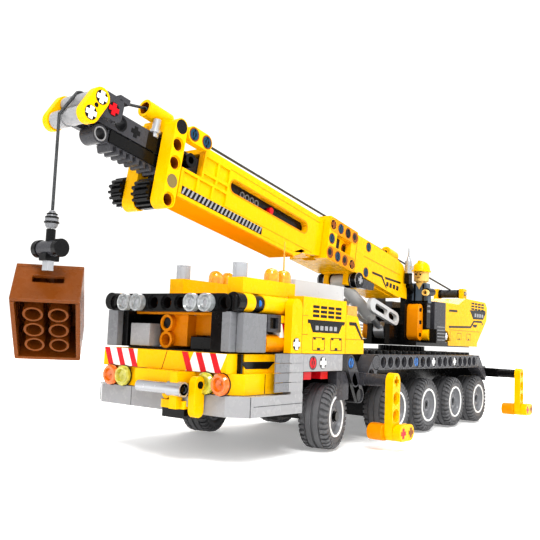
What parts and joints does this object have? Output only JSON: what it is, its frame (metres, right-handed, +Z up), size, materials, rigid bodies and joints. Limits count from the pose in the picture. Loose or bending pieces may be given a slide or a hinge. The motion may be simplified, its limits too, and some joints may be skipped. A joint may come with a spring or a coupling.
{
  "type": "toy crane truck",
  "caption": "Building-brick toy mobile crane: steered multi-axle truck, slewing upper works, luffing telescopic boom with strut, winch, rope and hook with a hanging box, sliding outriggers.",
  "frame": {"origin": "centre of the standing truck's footprint box, on the ground", "axes": "+Y to the rear of the truck (the cab faces -Y), +X to the truck's left, +Z up"},
  "size_m": [0.132, 0.406, 0.1467],
  "materials": {
    "yellow_plastic": "glossy moulded",
    "black_plastic": "glossy moulded",
    "dark_grey_plastic": "glossy moulded",
    "light_grey_plastic": "glossy moulded",
    "silver_plastic": "pearl moulded",
    "white_plastic": "glossy moulded",
    "amber_plastic": "clear tinted",
    "brown_plastic": "glossy moulded",
    "tyre_rubber": "matte rubber",
    "rope": "braided thread",
    "operator_plastic": "glossy moulded"
  },
  "bodies": {
    "chassis": {"chassis_frame": "black_plastic", "rail_left": "dark_grey_plastic", "rail_right": "dark_grey_plastic", "turntable_base": "black_plastic", "bumper": "light_grey_plastic", "hood": "yellow_plastic", "lamp_pair_left": "amber_plastic", "lamp_pair_right": "amber_plastic", "tow_bar": "silver_plastic", "cab_frame": "dark_grey_plastic", "light_bar": "black_plastic", "cab_roof": "yellow_plastic", "exhaust_left": "silver_plastic", "exhaust_mid": "silver_plastic", "beacon_left": "amber_plastic", "beacon_mid": "amber_plastic", "side_panel_left": "yellow_plastic", "side_panel_right": "yellow_plastic", "engine_cover": "dark_grey_plastic"},
    "axle_2": {"axle_2_rims": "dark_grey_plastic", "tyre_2_left": "tyre_rubber", "tyre_2_right": "tyre_rubber"},
    "axle_3": {"axle_3_rims": "dark_grey_plastic", "tyre_3_left": "tyre_rubber", "tyre_3_right": "tyre_rubber"},
    "axle_4": {"axle_4_rims": "dark_grey_plastic", "tyre_4_left": "tyre_rubber", "tyre_4_right": "tyre_rubber"},
    "axle_5": {"axle_5_rims": "dark_grey_plastic", "tyre_5_left": "tyre_rubber", "tyre_5_right": "tyre_rubber"},
    "knuckle_left": {"knuckle_left": "dark_grey_plastic"},
    "front_wheel_left": {"front_rim_left": "dark_grey_plastic", "front_tyre_left": "tyre_rubber"},
    "knuckle_right": {"knuckle_right": "dark_grey_plastic"},
    "front_wheel_right": {"front_rim_right": "dark_grey_plastic", "front_tyre_right": "tyre_rubber"},
    "upper_works": {"slew_platform": "black_plastic", "support_left": "yellow_plastic", "support_right": "yellow_plastic", "counterweight": "yellow_plastic", "operator": "operator_plastic"},
    "winch": {"winch_drum": "black_plastic"},
    "boom": {"boom_base": "yellow_plastic", "boom_housing": "yellow_plastic", "boom_collar": "yellow_plastic", "boom_rope": "rope"},
    "strut_barrel": {"strut_cylinder": "light_grey_plastic"},
    "strut_piston": {"strut_rod": "silver_plastic"},
    "extension": {"boom_extension": "dark_grey_plastic", "tip_head": "yellow_plastic"},
    "tip_roller": {"tip_roller": "white_plastic"},
    "rope": {"hoist_rope": "rope"},
    "hook_ball": {"hook_ball": "dark_grey_plastic"},
    "hook": {"hook_clip": "silver_plastic", "load_box": "brown_plastic"},
    "outrigger_front_left": {"outrigger_front_left": "yellow_plastic"},
    "outrigger_front_right": {"outrigger_front_right": "yellow_plastic"},
    "outrigger_rear_left": {"outrigger_rear_left": "yellow_plastic"},
    "outrigger_rear_right": {"outrigger_rear_right": "yellow_plastic"}
  },
  "joints": [
    {"name": "axle_2_spin", "type": "hinge", "parent": "chassis", "child": "axle_2", "pos_m": [0, -0.0033, 0.0152], "axis": [1, 0, 0], "continuous": true},
    {"name": "axle_3_spin", "type": "hinge", "parent": "chassis", "child": "axle_3", "pos_m": [0, 0.03671, 0.0152], "axis": [1, 0, 0], "continuous": true},
    {"name": "axle_4_spin", "type": "hinge", "parent": "chassis", "child": "axle_4", "pos_m": [0, 0.0767, 0.0152], "axis": [1, 0, 0], "continuous": true},
    {"name": "axle_5_spin", "type": "hinge", "parent": "chassis", "child": "axle_5", "pos_m": [0, 0.11671, 0.0152], "axis": [1, 0, 0], "continuous": true},
    {"name": "steer_left", "type": "hinge", "parent": "chassis", "child": "knuckle_left", "pos_m": [0.0365, -0.06729, 0.0152], "axis": [0, 0, 1], "range_deg": [-29.6, 6.4]},
    {"name": "front_wheel_left_spin", "type": "hinge", "parent": "knuckle_left", "child": "front_wheel_left", "pos_m": [0.0365, -0.06729, 0.0152], "axis": [0.9796, 0.2011, 0], "continuous": true},
    {"name": "steer_right", "type": "hinge", "parent": "chassis", "child": "knuckle_right", "pos_m": [-0.0365, -0.06729, 0.0152], "axis": [0, 0, 1], "range_deg": [-29.6, 6.4]},
    {"name": "front_wheel_right_spin", "type": "hinge", "parent": "knuckle_right", "child": "front_wheel_right", "pos_m": [-0.0365, -0.06729, 0.0152], "axis": [0.9796, 0.2011, 0], "continuous": true},
    {"name": "slew", "type": "hinge", "parent": "chassis", "child": "upper_works", "pos_m": [0, 0.08771, 0.048], "axis": [0, 0, 1], "continuous": true},
    {"name": "winch_spin", "type": "hinge", "parent": "upper_works", "child": "winch", "pos_m": [0, 0.1707, 0.0895], "axis": [1, 0, 0], "continuous": true},
    {"name": "luff", "type": "hinge", "parent": "upper_works", "child": "boom", "pos_m": [0, 0.07371, 0.086], "axis": [-1, 0, 0], "range_deg": [-3, 45]},
    {"name": "strut_top", "type": "hinge", "parent": "boom", "child": "strut_barrel", "pos_m": [0, 0.00498, 0.08451], "axis": [-1, 0, 0], "range_deg": [-12, 5]},
    {"name": "strut_reach", "type": "slide", "parent": "strut_barrel", "child": "strut_piston", "axis": [0, 0.9, -0.436], "range_m": [-0.004, 0.03]},
    {"name": "telescope", "type": "slide", "parent": "boom", "child": "extension", "axis": [0, -0.9858, 0.1678], "range_m": [-0.014, 0.05]},
    {"name": "tip_roller_spin", "type": "hinge", "parent": "extension", "child": "tip_roller", "pos_m": [0, -0.19231, 0.12864], "axis": [1, 0, 0], "continuous": true},
    {"name": "rope_plumb", "type": "hinge", "parent": "extension", "child": "rope", "pos_m": [0, -0.19231, 0.12864], "axis": [-1, 0, 0], "range_deg": [-50, 5]},
    {"name": "hoist", "type": "slide", "parent": "rope", "child": "hook_ball", "axis": [0, 0, -1], "range_m": [-0.028, 0.038], "deforming": ["hoist_rope"]},
    {"name": "hook_turn", "type": "hinge", "parent": "hook_ball", "child": "hook", "pos_m": [0, -0.19701, 0.086], "axis": [0, 0, 1], "continuous": true},
    {"name": "outrigger_front_left_slide", "type": "slide", "parent": "chassis", "child": "outrigger_front_left", "axis": [1, 0, 0], "range_m": [-0.0135, 0.012]},
    {"name": "outrigger_front_right_slide", "type": "slide", "parent": "chassis", "child": "outrigger_front_right", "axis": [-1, 0, 0], "range_m": [-0.0135, 0.012]},
    {"name": "outrigger_rear_left_slide", "type": "slide", "parent": "chassis", "child": "outrigger_rear_left", "axis": [1, 0, 0], "range_m": [-0.0135, 0.012]},
    {"name": "outrigger_rear_right_slide", "type": "slide", "parent": "chassis", "child": "outrigger_rear_right", "axis": [-1, 0, 0], "range_m": [-0.0135, 0.012]}
  ],
  "couplings": [
    {"joint": "steer_right", "follows": "steer_left", "ratio": 1},
    {"joint": "strut_top", "follows": "luff", "ratio": -0.118},
    {"joint": "strut_reach", "follows": "luff", "m_per_rad": 0.0296},
    {"joint": "rope_plumb", "follows": "luff", "ratio": -1}
  ]
}
